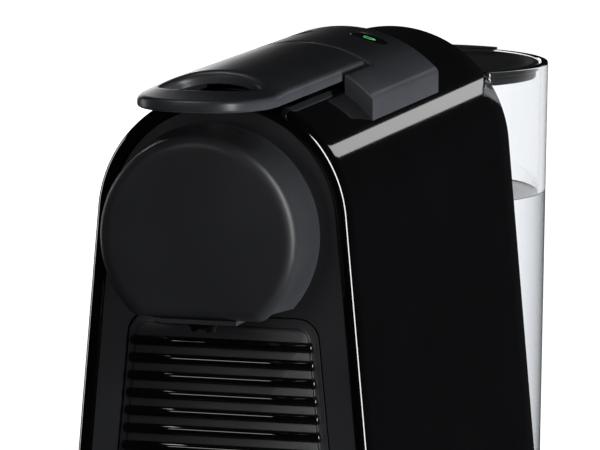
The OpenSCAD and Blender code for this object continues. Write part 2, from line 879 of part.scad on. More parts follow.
module tank_valve() {
    color("#e0e0da") translate([0, spigot_y, tank_z]) difference() {
        union() {
            cylinder(h = tank_wall, r = valve_r);
            translate([0, 0, tank_wall]) cylinder(h = 9, r = valve_r + 1.5);
        }
        translate([0, 0, -eps]) cylinder(h = 8.5, r = spigot_r + 0.08);
    }
}

// a tab of the lid that lies over the tank's rim, from y0 to y1
module lid_tab(half, y0, y1) {
    intersection() {
        translate([0, tank_y, tank_top + 0.05]) cylinder(h = 0.8, r = tank_r);
        block([-half, y0, tank_top], [half, y1, tank_top + 2]);
    }
}

module tank_lid() {
    inset = tank_wall + 0.6;
    back = tank_y + tank_r;
    front = tank_front + inset;
    color("#121214") {
        tank_solid(inset, tank_top - 2.2, tank_top - 0.2);
        difference() {
            tank_solid(inset + 1, tank_top - 5, tank_top - 2.2);
            tank_solid(inset + 2.6, tank_top - 6, tank_top);
        }
        lid_tab(18, back - 15, back + 1);
        block([-16, back - 15, tank_top - 1], [16, back - 8, tank_top + 0.5]);
        lid_tab(12, tank_front, front + 6);
        block([-12, front + 0.5, tank_top - 1], [12, front + 6, tank_top + 0.5]);
    }
}

body_shell();
front_panel();
rear_panel();
base_plate();
rubber_feet();
base_screws();
panel_screws();
head_ring();
head_cover();
brew_head();
coffee_outlet();
outlet_nozzle();
perforated_plate();
brew_frame();
frame_screws();
hinge_pin();
control_cover();
control_board();
tact_switches();
status_leds();
inner_bulkhead();
thermoblock();
thermal_fuses();
thermoblock_ports();
pump_body();
pump_coil();
pump_mounts();
flow_meter_body();
flow_meter_cap();
power_board();
board_parts();
suction_hose();
pressure_hose();
brew_hose();
tank_dock();
dock_spigot();
dock_seal();
cord_gland();
lever_cover();
lever_frame();
crank_pin();
link_arms();
capsule_cage();
cage_stem();
injector_plate();
cage_pin();
cage_seal();
espresso_button();
lungo_button();
pump_piston();
pump_spring();
flow_meter_rotor();
capsule_container();
container_front();
drip_tray();
drip_grid();
water_tank();
tank_valve();
tank_lid();
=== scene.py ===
"""The pod coffee machine's visual model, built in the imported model's frame.

Sizes are in millimetres in this script and turned into metres where a mesh, lamp or camera is made.
"""
import json
import math

import bmesh
import bpy
from mathutils import Matrix, Quaternion, Vector


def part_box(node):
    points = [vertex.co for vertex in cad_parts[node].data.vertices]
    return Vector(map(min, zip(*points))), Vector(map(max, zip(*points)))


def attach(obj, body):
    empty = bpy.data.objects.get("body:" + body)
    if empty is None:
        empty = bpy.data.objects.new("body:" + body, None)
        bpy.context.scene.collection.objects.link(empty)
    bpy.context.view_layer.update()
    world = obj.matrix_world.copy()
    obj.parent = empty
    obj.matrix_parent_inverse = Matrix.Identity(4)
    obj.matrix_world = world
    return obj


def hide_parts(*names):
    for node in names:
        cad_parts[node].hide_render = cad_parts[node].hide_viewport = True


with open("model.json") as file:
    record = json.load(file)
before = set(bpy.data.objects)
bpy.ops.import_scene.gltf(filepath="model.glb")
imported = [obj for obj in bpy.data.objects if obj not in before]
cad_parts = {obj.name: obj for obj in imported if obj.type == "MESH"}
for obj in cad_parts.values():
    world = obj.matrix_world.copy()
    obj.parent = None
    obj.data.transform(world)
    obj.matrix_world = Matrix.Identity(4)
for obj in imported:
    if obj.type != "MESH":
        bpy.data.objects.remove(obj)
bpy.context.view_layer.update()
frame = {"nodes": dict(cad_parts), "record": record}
nodes = frame["nodes"]
scene = bpy.context.scene
MM = 0.001


def side_of(node, side, axis):
    """One face of a CAD node's box, in millimetres: side 0 is the low one, axis 0 is X."""
    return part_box(node)[side][axis] / MM


# ---------- sizes ----------

FRONT = side_of("body_shell", 0, 1)
BACK = side_of("body_shell", 1, 1)
SHELL_BOTTOM = side_of("body_shell", 0, 2)
# The casing: an arch on two walls that lean out to the feet.
FOOT_HALF = 55
ARCH_R = 40.6
ARCH_Z = side_of("body_shell", 1, 2) - ARCH_R
LEAN = math.acos(ARCH_R / math.hypot(FOOT_HALF, ARCH_Z)) - math.atan2(ARCH_Z, FOOT_HALF)
WALL = 2.5
LIP_R = 3.5
LIP_INNER_R = 2.0
# The opening in its top: a slot for the mechanism, with a wider notch for the lever's end.
SLOT_HALF = 19.6
SLOT_Y = (-101, 24)
NOTCH_HALF = 22.4
NOTCH_Y = (-43, -17)
SHELL_NOTCH_HALF = 23.4

HEAD_Z = 156.4
COVER_FRONT = side_of("head_cover", 0, 1)
COVER_BACK = side_of("head_cover", 1, 1)
COVER_R = side_of("head_cover", 1, 0)
COVER_LOW = side_of("head_cover", 0, 2)

# The crown that the lever, the block and the buttons share.
CROWN_R = 43.6
CROWN_TOP = side_of("control_cover", 1, 2)
CROWN_Z = CROWN_TOP - CROWN_R
LEVER_HALF = side_of("lever_cover", 1, 0)
LEVER_TIP = side_of("lever_cover", 0, 1)
LEVER_REAR = side_of("lever_cover", 1, 1)
LEVER_LOW = 195.4
LEVER_TIP_TOP = 199
COVER_SKIN = 2.3
THUMB = (0, FRONT - 9.8)
THUMB_HALF = (14.8, 9.8)

BUTTON_X = 12.2
BUTTON_Y = 12
BUTTON_R = 5.95
BUTTON_EDGE = 0.6
BUTTON_DISH = 0.25
BUTTON_SUNK = 0.1

CONTAINER_TOP = 129.6
LOUVRE_TOP = 122.8
LOUVRE_PITCH = 5.46
LOUVRES = 17
CONTAINER_HALF = 30.8

TANK_Y = 117.5
TANK_R = 45
TANK_LOW_R = 42.9
TANK_Z = side_of("water_tank", 0, 2)
TANK_TOP = side_of("water_tank", 1, 2)
TANK_FRONT = side_of("water_tank", 0, 1)
TANK_WALL = 2.5
WATER_TOP = 139

# ---------- camera ----------

CAMERA_AT = (441.86, -1513.45, 372.30)
CAMERA_AZIMUTH = math.radians(16.527)
CAMERA_ELEVATION = math.radians(8.303)
LENS = 296.15
SENSOR = 36


def make_camera():
    """A long lens that looks down on the machine from its front right."""
    back = Vector((math.sin(CAMERA_AZIMUTH) * math.cos(CAMERA_ELEVATION),
                   -math.cos(CAMERA_AZIMUTH) * math.cos(CAMERA_ELEVATION), math.sin(CAMERA_ELEVATION)))
    right = Vector((math.cos(CAMERA_AZIMUTH), math.sin(CAMERA_AZIMUTH), 0))
    up = back.cross(right)
    data = bpy.data.cameras.new("camera")
    data.lens = LENS
    data.sensor_width = SENSOR
    data.shift_y = 0.0018
    data.clip_start, data.clip_end = 0.1, 60
    cam = bpy.data.objects.new("camera", data)
    cam.matrix_world = Matrix((right, up, back)).transposed().to_4x4()
    cam.location = Vector(CAMERA_AT) * MM
    scene.collection.objects.link(cam)
    scene.camera = cam


# ---------- materials ----------

# Noise scales per metre, and the depth of the grain in metres.
CLOUD_SCALE = 35
SMUDGE_SCALE = 14
GRAIN_DEPTH = 0.0002


def put(bsdf, **values):
    """Set a shader's sockets by name, with _ for each space."""
    for name, value in values.items():
        bsdf.inputs[name.replace("_", " ")].default_value = value


def finish_of(name, colour, rough, vary=0.12, bump=0.02, grain=900, wear=0.0, **extra):
    """A moulded, painted or metal finish: its colour and roughness vary, with grain and light wear."""
    mat = bpy.data.materials.new(name)
    mat.use_nodes = True
    tree = mat.node_tree
    bsdf = tree.nodes["Principled BSDF"]
    put(bsdf, **extra)
    coords = tree.nodes.new("ShaderNodeTexCoord")

    def noise(scale, detail=3.0):
        node = tree.nodes.new("ShaderNodeTexNoise")
        node.inputs["Scale"].default_value = scale
        node.inputs["Detail"].default_value = detail
        tree.links.new(coords.outputs["Object"], node.inputs["Vector"])
        return node

    def ramp(source, low, high, start=0.35, end=0.65):
        node = tree.nodes.new("ShaderNodeMapRange")
        node.inputs["From Min"].default_value = start
        node.inputs["From Max"].default_value = end
        node.inputs["To Min"].default_value = low
        node.inputs["To Max"].default_value = high
        tree.links.new(source, node.inputs["Value"])
        return node.outputs["Result"]

    def between(low, high):
        node = tree.nodes.new("ShaderNodeMix")
        node.data_type = "RGBA"
        if low:
            node.inputs["A"].default_value = low + [1]
        node.inputs["B"].default_value = high + [1]
        return node

    cloud = noise(CLOUD_SCALE)
    mix = between([c * (1 - vary) for c in colour], [min(1, c * (1 + vary)) for c in colour])
    tree.links.new(ramp(cloud.outputs["Fac"], 0, 1), mix.inputs["Factor"])
    base = mix.outputs["Result"]
    if wear:
        geometry = tree.nodes.new("ShaderNodeNewGeometry")
        worn = between(None, [min(1, c * 1.6 + 0.01) for c in colour])
        tree.links.new(base, worn.inputs["A"])
        tree.links.new(ramp(geometry.outputs["Pointiness"], 0, wear, 0.52, 0.6), worn.inputs["Factor"])
        base = worn.outputs["Result"]
    tree.links.new(base, bsdf.inputs["Base Color"])
    smudge = noise(SMUDGE_SCALE, 5)
    smudged = ramp(smudge.outputs["Fac"], rough * 0.88, min(1, rough * 1.15))
    tree.links.new(smudged, bsdf.inputs["Roughness"])
    if bump:
        fine = noise(grain, 2)
        node = tree.nodes.new("ShaderNodeBump")
        node.inputs["Strength"].default_value = bump
        node.inputs["Distance"].default_value = GRAIN_DEPTH
        tree.links.new(fine.outputs["Fac"], node.inputs["Height"])
        tree.links.new(node.outputs["Normal"], bsdf.inputs["Normal"])
    return mat


def make_finishes():
    """One material for each of the record's slots."""
    return {
        "gloss_black": finish_of("gloss_black", (0.0006, 0.0006, 0.0007), 0.06, bump=0.0, wear=0.1,
                                 Coat_Weight=0.6, Coat_Roughness=0.05, Specular_IOR_Level=0.5),
        "lever_charcoal": finish_of("lever_charcoal", (0.014, 0.0148, 0.0168), 0.36, bump=0.1,
                                    grain=1500, wear=0.1),
        "satin_black": finish_of("satin_black", (0.0085, 0.0088, 0.0098), 0.38, bump=0.06,
                                 grain=1800, wear=0.1),
        "dark_plastic": finish_of("dark_plastic", (0.018, 0.018, 0.019), 0.55, bump=0.3,
                                  grain=1600, wear=0.2),
        "clear_tank": finish_of("clear_tank", (0.985, 0.992, 0.995), 0.015, vary=0.005, bump=0.0,
                                Transmission_Weight=1.0, IOR=1.45, Specular_IOR_Level=0.3),
        "steel": finish_of("steel", (0.6, 0.6, 0.61), 0.24, bump=0.1, grain=500, wear=0.2,
                           Metallic=1.0),
        "cast_aluminium": finish_of("cast_aluminium", (0.62, 0.63, 0.64), 0.5, bump=0.5,
                                    grain=420, Metallic=1.0),
        "brass_fitting": finish_of("brass_fitting", (0.72, 0.52, 0.2), 0.28, bump=0.08,
                                   grain=600, Metallic=1.0),
        "rubber_black": finish_of("rubber_black", (0.022, 0.022, 0.022), 0.8, bump=0.3, grain=900),
        "silicone_red": finish_of("silicone_red", (0.36, 0.07, 0.05), 0.5, bump=0.1,
                                  Subsurface_Weight=0.1),
        "hose_white": finish_of("hose_white", (0.75, 0.75, 0.7), 0.4, bump=0.08,
                                Subsurface_Weight=0.2),
        "pump_cream": finish_of("pump_cream", (0.62, 0.57, 0.46), 0.5, bump=0.15, grain=1200),
        "coil_dark": finish_of("coil_dark", (0.03, 0.03, 0.035), 0.45, bump=0.2, grain=700),
        "board_green": finish_of("board_green", (0.02, 0.15, 0.06), 0.3, bump=0.3, grain=350),
        "rotor_blue": finish_of("rotor_blue", (0.03, 0.26, 0.5), 0.25, bump=0.03),
        "led_green": finish_of("led_green", (0.08, 0.4, 0.12), 0.3, bump=0.0,
                               Emission_Color=(0.1, 0.8, 0.2, 1), Emission_Strength=0.35),
    }


finishes = make_finishes()


def make_water():
    return finish_of("water", (0.985, 0.99, 0.995), 0.0, vary=0.004, bump=0.0,
                     Transmission_Weight=1.0, IOR=1.333, Specular_IOR_Level=0.1)


def soft_edges(obj, width, segments=2, angle=38):
    """Join a CAD piece's flat facets and round the edges between them."""
    flat = obj.modifiers.new("flats", "DECIMATE")
    flat.decimate_type = "DISSOLVE"
    flat.angle_limit = math.radians(0.3)
    bevel = obj.modifiers.new("edges", "BEVEL")
    bevel.width = width * MM
    bevel.segments = segments
    bevel.limit_method = "ANGLE"
    bevel.angle_limit = math.radians(angle)
    bevel.miter_outer = "MITER_ARC"


def even_shading(obj):
    """Let the large faces decide the normals beside a bevel."""
    shade = obj.modifiers.new("shading", "WEIGHTED_NORMAL")
    shade.keep_sharp = False
    shade.weight = 90


# ---------- mesh building ----------

WELD = 1e-6


def add_mesh(name, verts, faces):
    """An object in the scene from vertices in millimetres, as they are."""
    mesh = bpy.data.meshes.new(name)
    mesh.from_pydata([Vector(v) * MM for v in verts], [], faces)
    obj = bpy.data.objects.new(name, mesh)
    scene.collection.objects.link(obj)
    return obj


def make_mesh(name, verts, faces):
    """A closed mesh in millimetres, welded, without stray vertices, its faces turned outward."""
    obj = add_mesh(name, verts, faces)
    work = bmesh.new()
    work.from_mesh(obj.data)
    bmesh.ops.remove_doubles(work, verts=work.verts, dist=WELD)
    bmesh.ops.recalc_face_normals(work, faces=work.faces)
    stray = [v for v in work.verts if not v.link_faces]
    bmesh.ops.delete(work, geom=stray, context="VERTS")
    work.to_mesh(obj.data)
    work.free()
    return obj


def smooth(obj, angle=35):
    """Smooth shading, with edges sharper than the angle left hard."""
    mesh = obj.data
    mesh.polygons.foreach_set("use_smooth", [True] * len(mesh.polygons))
    mesh.set_sharp_from_angle(angle=math.radians(angle))


def place(obj, body, slot, replaced=(), material=None, sharp=35):
    """Finish a piece: smooth it, give it the given material or its slot's finish, hang it on its body's
    empty and hide the CAD nodes it stands for.
    """
    smooth(obj, sharp)
    obj.data.materials.clear()
    obj.data.materials.append(material or finishes[slot])
    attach(obj, body)
    if replaced:
        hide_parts(*replaced)


def loft(rings, cap_start=True, cap_end=True, closed=True):
    """Vertices and faces through rings of equal length."""
    count = len(rings[0])
    verts = [p for ring in rings for p in ring]
    faces = []
    around = range(count if closed else count - 1)
    for i in range(len(rings) - 1):
        for k in around:
            a, b = i * count + k, i * count + (k + 1) % count
            faces.append((a, b, b + count, a + count))
    if cap_start:
        faces.append(tuple(range(count - 1, -1, -1)))
    if cap_end:
        last = (len(rings) - 1) * count
        faces.append(tuple(range(last, last + count)))
    return verts, faces


def steps(a, b, count):
    """Values from a to b in equal steps."""
    return [a + (b - a) * i / count for i in range(count + 1)]


def quarter(count):
    """Cosine and sine along a quarter turn."""
    return [(math.cos(math.radians(t)), math.sin(math.radians(t))) for t in steps(0, 90, count)]


def circle(cx, cy, r, count=72):
    """Points round a circle."""
    turns = [2 * math.pi * k / count for k in range(count)]
    return [(cx + r * math.cos(a), cy + r * math.sin(a)) for a in turns]


def arc(cx, cy, r, start, end, count):
    """Points along an arc between two angles in degrees."""
    return [(cx + r * math.cos(math.radians(t)), cy + r * math.sin(math.radians(t)))
            for t in steps(start, end, count)]


def clipped_circle(r, flat, corner, count=96):
    """Outline of a circle cut by the line y = flat below its centre, with rounded corners.

    It starts at the top and goes round, so that outlines of any size match point for point.
    """
    depth = -flat
    inner = r - corner
    cx = math.sqrt(max(inner * inner - (depth - corner) ** 2, 0))
    cy = -(depth - corner)
    meet = math.degrees(math.atan2(cy, cx))
    half = count // 2
    corner_steps = 8
    flat_steps = 6
    arc_steps = half - corner_steps - flat_steps
    right = arc(0, 0, r, 90, meet, arc_steps)
    right += arc(cx, cy, corner, meet, -90, corner_steps)[1:]
    right += [(x, flat) for x in steps(cx, 0, flat_steps)[1:]]
    return right + [(-x, y) for x, y in reversed(right[1:-1])]


# ---------- casing ----------

def arch_point(angle, d):
    """X and Z on the arch at an angle, moved out by d."""
    a = math.radians(angle)
    return ((ARCH_R + d) * math.cos(a), ARCH_Z + (ARCH_R + d) * math.sin(a))


def side_half(d, z):
    """Half the casing's width at height z on its straight walls, moved out by d."""
    return (ARCH_R + d) / math.cos(LEAN) + (ARCH_Z - z) * math.tan(LEAN)


def slot_angle(half):
    """Angle on the arch where its outside is half wide."""
    return math.degrees(math.acos(half / ARCH_R))


def spread(stations, widest):
    """Stations with enough steps between them."""
    out = [stations[0]]
    for a, b in zip(stations, stations[1:]):
        out += steps(a, b, max(1, math.ceil(abs(b - a) / widest)))[1:]
    return out


def shell_rows(ys):
    """The wall's section swept over the arch: outside from the back, round the lip, inside to the back."""
    section = [(0, y) for y in reversed(ys)]
    section += [(LIP_R * (c - 1), FRONT + LIP_R * (1 - s)) for c, s in quarter(12)]
    section += [(-LIP_R - LIP_INNER_R * s, FRONT + LIP_INNER_R * (1 - c)) for c, s in quarter(6)[1:]]
    section += [(-WALL, y) for y in ys]
    lean = math.degrees(LEAN)
    narrow, wide = slot_angle(SLOT_HALF), slot_angle(SHELL_NOTCH_HALF)
    angles = spread([lean, wide, narrow, 180 - narrow, 180 - wide, 180 - lean], 2.5)
    sides = steps(SHELL_BOTTOM, ARCH_Z + ARCH_R * math.sin(LEAN), 12)[:-1]
    rows = []
    for d, y in section:
        row = [(side_half(d, z), y, z) for z in sides]
        row += [(x, y, z) for x, z in (arch_point(a, d) for a in angles)]
        row += [(-side_half(d, z), y, z) for z in reversed(sides)]
        rows.append(row)
    return rows


def make_body_shell():
    """The casing, open in front, behind and below, with the slot and notch cut through its top."""
    ys = spread([FRONT + LIP_R, SLOT_Y[0], NOTCH_Y[0], NOTCH_Y[1], SLOT_Y[1], BACK], 12)[1:]
    rows = shell_rows(ys)
    count, across = len(rows), len(rows[0])

    def at(i, j):
        return (i % count) * across + j

    def open_above(i, j):
        """Whether the cell between rows i, i+1 and columns j, j+1 lies in the opening on top."""
        cell = [rows[a % count][b] for a in (i, i + 1) for b in (j, j + 1)]
        x, y, z = (sum(p[k] for p in cell) / 4 for k in range(3))
        if z < ARCH_Z or not SLOT_Y[0] < y < SLOT_Y[1]:
            return False
        half = SHELL_NOTCH_HALF if NOTCH_Y[0] < y < NOTCH_Y[1] else SLOT_HALF
        return abs(x) < half

    faces = [(at(i, j), at(i, j + 1), at(i + 1, j + 1), at(i + 1, j))
             for i in range(count) for j in range(across - 1) if not open_above(i, j)]
    # Outer row i lies over inner row -1 - i, so each open edge is closed with a face between them.
    for i in range(len(ys) - 1):
        for j in range(across - 1):
            if not open_above(i, j):
                continue
            for beside, k in ((j - 1, j), (j + 1, j + 1)):
                if not open_above(i, beside):
                    faces.append((at(i, k), at(i + 1, k), at(-2 - i, k), at(-1 - i, k)))
            for beside, k in ((i - 1, i), (i + 1, i + 1)):
                if not open_above(beside, j):
                    faces.append((at(k, j), at(k, j + 1), at(-1 - k, j + 1), at(-1 - k, j)))
    faces += [[at(i, j) for i in range(count)] for j in (0, across - 1)]
    verts = [v for row in rows for v in row]
    place(make_mesh("body_shell_casing", verts, faces), "body", "gloss_black", ["body_shell"], sharp=50)


# ---------- brew head ----------

def make_head_cover():
    """The round disc on the head: a softly rolled edge and a slightly domed face, cut flat below."""
    edge = 4.6
    edge_depth = 3.0
    dome = 0.6
    flat = COVER_LOW - HEAD_Z
    rings = []

    def ring(inset, y):
        outline = clipped_circle(COVER_R - inset, flat + inset * 0.8, 4.5 - inset * 0.3)
        rings.append([(x, y, HEAD_Z + z) for x, z in outline])

    ring(0.6, COVER_BACK)
    ring(0.15, COVER_BACK - 0.25)
    face_y = COVER_FRONT + dome
    for c, s in quarter(8):
        ring(edge * (1 - c), face_y + edge_depth * (1 - s))
    last = rings[-1]
    for share in (0.92, 0.8, 0.62, 0.42, 0.2):
        y = face_y - dome * (1 - share * share)
        rings.append([(x * share, y, HEAD_Z + (z - HEAD_Z) * share) for x, _, z in last])
    verts, faces = loft(rings)
    place(make_mesh("head_cover_disc", verts, faces), "body", "satin_black", ["head_cover"], sharp=60)


def make_nozzle():
    """Two spouts that share one rounded block under the head."""
    top = side_of("coffee_outlet", 0, 2)
    cy = FRONT - 19
    rings = []
    for z, grow in ((top + 1.2, 1), (top - 0.6, 1), (top - 1.3, 0.96), (top - 1.9, 0.84),
                    (top - 2.3, 0.6), (top - 2.45, 0.3)):
        ring = []
        for k in range(48):
            a = 2 * math.pi * k / 48
            waist = 0.8 + 0.2 * math.cos(a) ** 2
            ring.append((4.7 * grow * math.cos(a), cy + 3.5 * grow * waist * math.sin(a), z))
        rings.append(ring)
    verts, faces = loft(rings)
    place(make_mesh("nozzle_block", verts, faces), "body", "gloss_black", ["outlet_nozzle"], sharp=60)
    for side in (-1, 1):
        rings = []
        for z, r in ((top - 1.2, 1.7), (top - 2.7, 1.55), (top - 3.0, 1.3), (top - 2.9, 0.9),
                     (top - 1.5, 0.8)):
            rings.append([(x, y, z) for x, y in circle(side * 2.3, cy, r, 32)])
        verts, faces = loft(rings)
        name = "spout_right" if side > 0 else "spout_left"
        place(make_mesh(name, verts, faces), "body", "gloss_black", sharp=40)


# ---------- lever ----------

def crown(x):
    """Height of the crown across the machine."""
    return CROWN_Z + math.sqrt(CROWN_R * CROWN_R - x * x)


def lever_top(x, y):
    """Height of the lever's skin: crowned at the back, flattening towards its tip."""
    t = min(max((FRONT - y) / (FRONT - LEVER_TIP), 0), 1)
    blend = t * t * (3 - 2 * t) * 0.35 + t * 0.65
    return crown(x) + (LEVER_TIP_TOP - 0.0016 * x * x - crown(x)) * blend


def lever_stations():
    """Points round the lever's plan, each with its outward normal and its angle round the thumb hole."""
    shoulder = 22
    corner = 1.6
    front_y = LEVER_TIP + shoulder
    rear = LEVER_REAR - corner
    half = LEVER_HALF - corner
    out = [(LEVER_HALF, y, 1, 0, 45 * (y - front_y) / (rear - front_y))
           for y in steps(rear, front_y, 26)]

    def nose(a):
        c = math.cos(a)
        x = LEVER_HALF * math.copysign(abs(c) ** 0.75, c) if abs(c) > 1e-9 else 0
        return x, front_y - shoulder * math.sin(a)

    for i in range(1, 60):
        a = math.pi * i / 60
        (xa, ya), (xb, yb) = nose(a - 0.01), nose(a + 0.01)
        length = math.hypot(xb - xa, yb - ya)
        out.append((*nose(a), -(yb - ya) / length, (xb - xa) / length, -math.degrees(a)))
    out += [(-LEVER_HALF, y, -1, 0, 180 - 45 * (y - front_y) / (rear - front_y))
            for y in steps(front_y, rear, 26)]
    for centre, start in ((-half, 180), (half, 90)):
        for t in steps(start, start - 90, 6)[1:]:
            nx, ny = math.cos(math.radians(t)), math.sin(math.radians(t))
            x = centre + corner * nx
            out.append((x, rear + corner * ny, nx, ny, 90 - 45 * x / LEVER_HALF))
        if start == 180:
            out += [(x, LEVER_REAR, 0, 1, 90 - 45 * x / LEVER_HALF)
                    for x in steps(-half, half, 26)[1:]]
    return out[:-1]


def make_lever_cover():
    """The lever's hollow skin, swept from the thumb hole over the top, round the edge and back below."""
    roll = 2.4
    edge = 1.5
    low_edge = 0.8
    stations = lever_stations()
    holes = []
    for *_, angle in stations:
        c, d = math.cos(math.radians(angle)), math.sin(math.radians(angle))
        m = Vector((c / THUMB_HALF[0], d / THUMB_HALF[1])).normalized()
        holes.append((THUMB[0] + THUMB_HALF[0] * c, THUMB[1] + THUMB_HALF[1] * d, m.x, m.y))

    def hole_ring(out, height):
        return [(x + mx * out, y + my * out, height(x + mx * out, y + my * out))
                for x, y, mx, my in holes]

    def edge_ring(inset, height):
        return [(x - nx * inset, y - ny * inset, height(x - nx * inset, y - ny * inset))
                for x, y, nx, ny, _ in stations]

    def between(a, b, share, drop):
        ring = []
        for (ax, ay, _), (bx, by, _) in zip(a, b):
            x, y = ax + (bx - ax) * share, ay + (by - ay) * share
            ring.append((x, y, lever_top(x, y) - drop))
        return ring

    rings = []
    for c, d in quarter(8):
        rings.append(hole_ring(roll * (1 - c), lambda x, y: lever_top(x, y) - roll * (1 - d)))
    inner = rings[-1]
    outer = edge_ring(edge, lever_top)
    rings += [between(inner, outer, s, 0) for s in steps(0, 1, 26)[1:]]
    for c, d in quarter(7)[1:]:
        rings.append(edge_ring(edge * (1 - d), lambda x, y: lever_top(x, y) - edge * (1 - c)))
    for c, d in quarter(5):
        rings.append(edge_ring(low_edge * (1 - c), lambda x, y: LEVER_LOW + low_edge * (1 - d)))
    rings.append(edge_ring(COVER_SKIN, lambda x, y: LEVER_LOW))
    under_outer = edge_ring(COVER_SKIN + 0.1, lever_top)
    under_inner = hole_ring(COVER_SKIN + 0.1, lever_top)
    rings += [between(under_outer, under_inner, s, COVER_SKIN) for s in steps(0, 1, 12)]
    rings.append(hole_ring(COVER_SKIN, lambda x, y: lever_top(x, y) - 4))
    rings.append(hole_ring(0.6, lambda x, y: lever_top(x, y) - 4.2))
    rings.append(hole_ring(0, lambda x, y: lever_top(x, y) - 3.8))
    rings.append(rings[0])
    verts, faces = loft(rings, False, False)
    place(make_mesh("lever_skin", verts, faces), "lever", "lever_charcoal", ["lever_cover"], sharp=50)


# ---------- buttons ----------

def make_button(name, side, body, node, lit):
    """A round button with a shallow dish and a cup sign."""
    cx = side * BUTTON_X
    skirt = side_of(node, 0, 2)

    def crowned(r, drop):
        return [(x, y, crown(x) - BUTTON_SUNK - drop) for x, y in circle(cx, BUTTON_Y, r)]

    rings = [[(x, y, z) for x, y in circle(cx, BUTTON_Y, r)]
             for r, z in ((BUTTON_R + 0.8, skirt), (BUTTON_R + 0.8, skirt + 0.8), (BUTTON_R, skirt + 0.9))]
    rings += [crowned(BUTTON_R - BUTTON_EDGE * (1 - c), BUTTON_EDGE * (1 - s)) for c, s in quarter(5)]
    rings += [crowned((BUTTON_R - BUTTON_EDGE) * share, BUTTON_DISH * (1 - share * share))
              for share in (0.8, 0.55, 0.25)]
    verts, faces = loft(rings)
    place(make_mesh(name, verts, faces), body, "gloss_black", [node], sharp=50)
    make_cup_sign(name + "_sign", cx, 1.0 if lit else 0.72, body, lit)


def make_cup_sign(name, cx, scale, body, lit):
    """An outline of a small cup with a handle, lying on the button's dish."""
    line = 0.28
    cup = [(-1.5, 1.2), (1.5, 1.2), (1.2, -0.9), (0.7, -1.3), (-0.7, -1.3), (-1.2, -0.9)]
    loops = [(cup, True), (arc(1.4, 0.35, 0.75, 75, -75, 8), False)]
    verts, faces = [], []
    for path, closed in loops:
        count = len(path)
        pairs = range(count if closed else count - 1)
        for k in pairs:
            a, b = Vector(path[k]), Vector(path[(k + 1) % count])
            side = (b - a).orthogonal().normalized() * line / 2
            along = (b - a).normalized() * line / 2
            start = len(verts)
            for lift in (-0.05, 0.09):
                for point in (a - along + side, b + along + side, b + along - side, a - along - side):
                    x, y = point * scale
                    dish = BUTTON_DISH * (1 - ((x * x + y * y) / (BUTTON_R - BUTTON_EDGE) ** 2))
                    verts.append((cx + x, BUTTON_Y + y, crown(cx + x) - BUTTON_SUNK - dish + lift))
            faces += [(start + 3, start + 2, start + 1, start),
                      (start + 4, start + 5, start + 6, start + 7)]
            for m in range(4):
                n = (m + 1) % 4
                faces.append((start + m, start + n, start + 4 + n, start + 4 + m))
    sign = add_mesh(name, verts, faces)
    place(sign, body, "led_green" if lit else None, material=None if lit else sign_grey, sharp=30)


# ---------- control block ----------

def cut_round_hole(obj, cx, cy, r):
    """Cut a round hole straight down through the crown."""
    verts, faces = loft([[(x, y, z) for x, y in circle(cx, cy, r)] for z in (190, 210)])
    cutter = make_mesh("cutter", verts, faces)
    cut = obj.modifiers.new("hole", "BOOLEAN")
    cut.object = cutter
    cut.solver = "EXACT"
    bpy.context.view_layer.update()
    ready = obj.evaluated_get(bpy.context.evaluated_depsgraph_get())
    mesh = bpy.data.meshes.new_from_object(ready)
    obj.modifiers.clear()
    obj.data = mesh
    bpy.data.objects.remove(cutter)


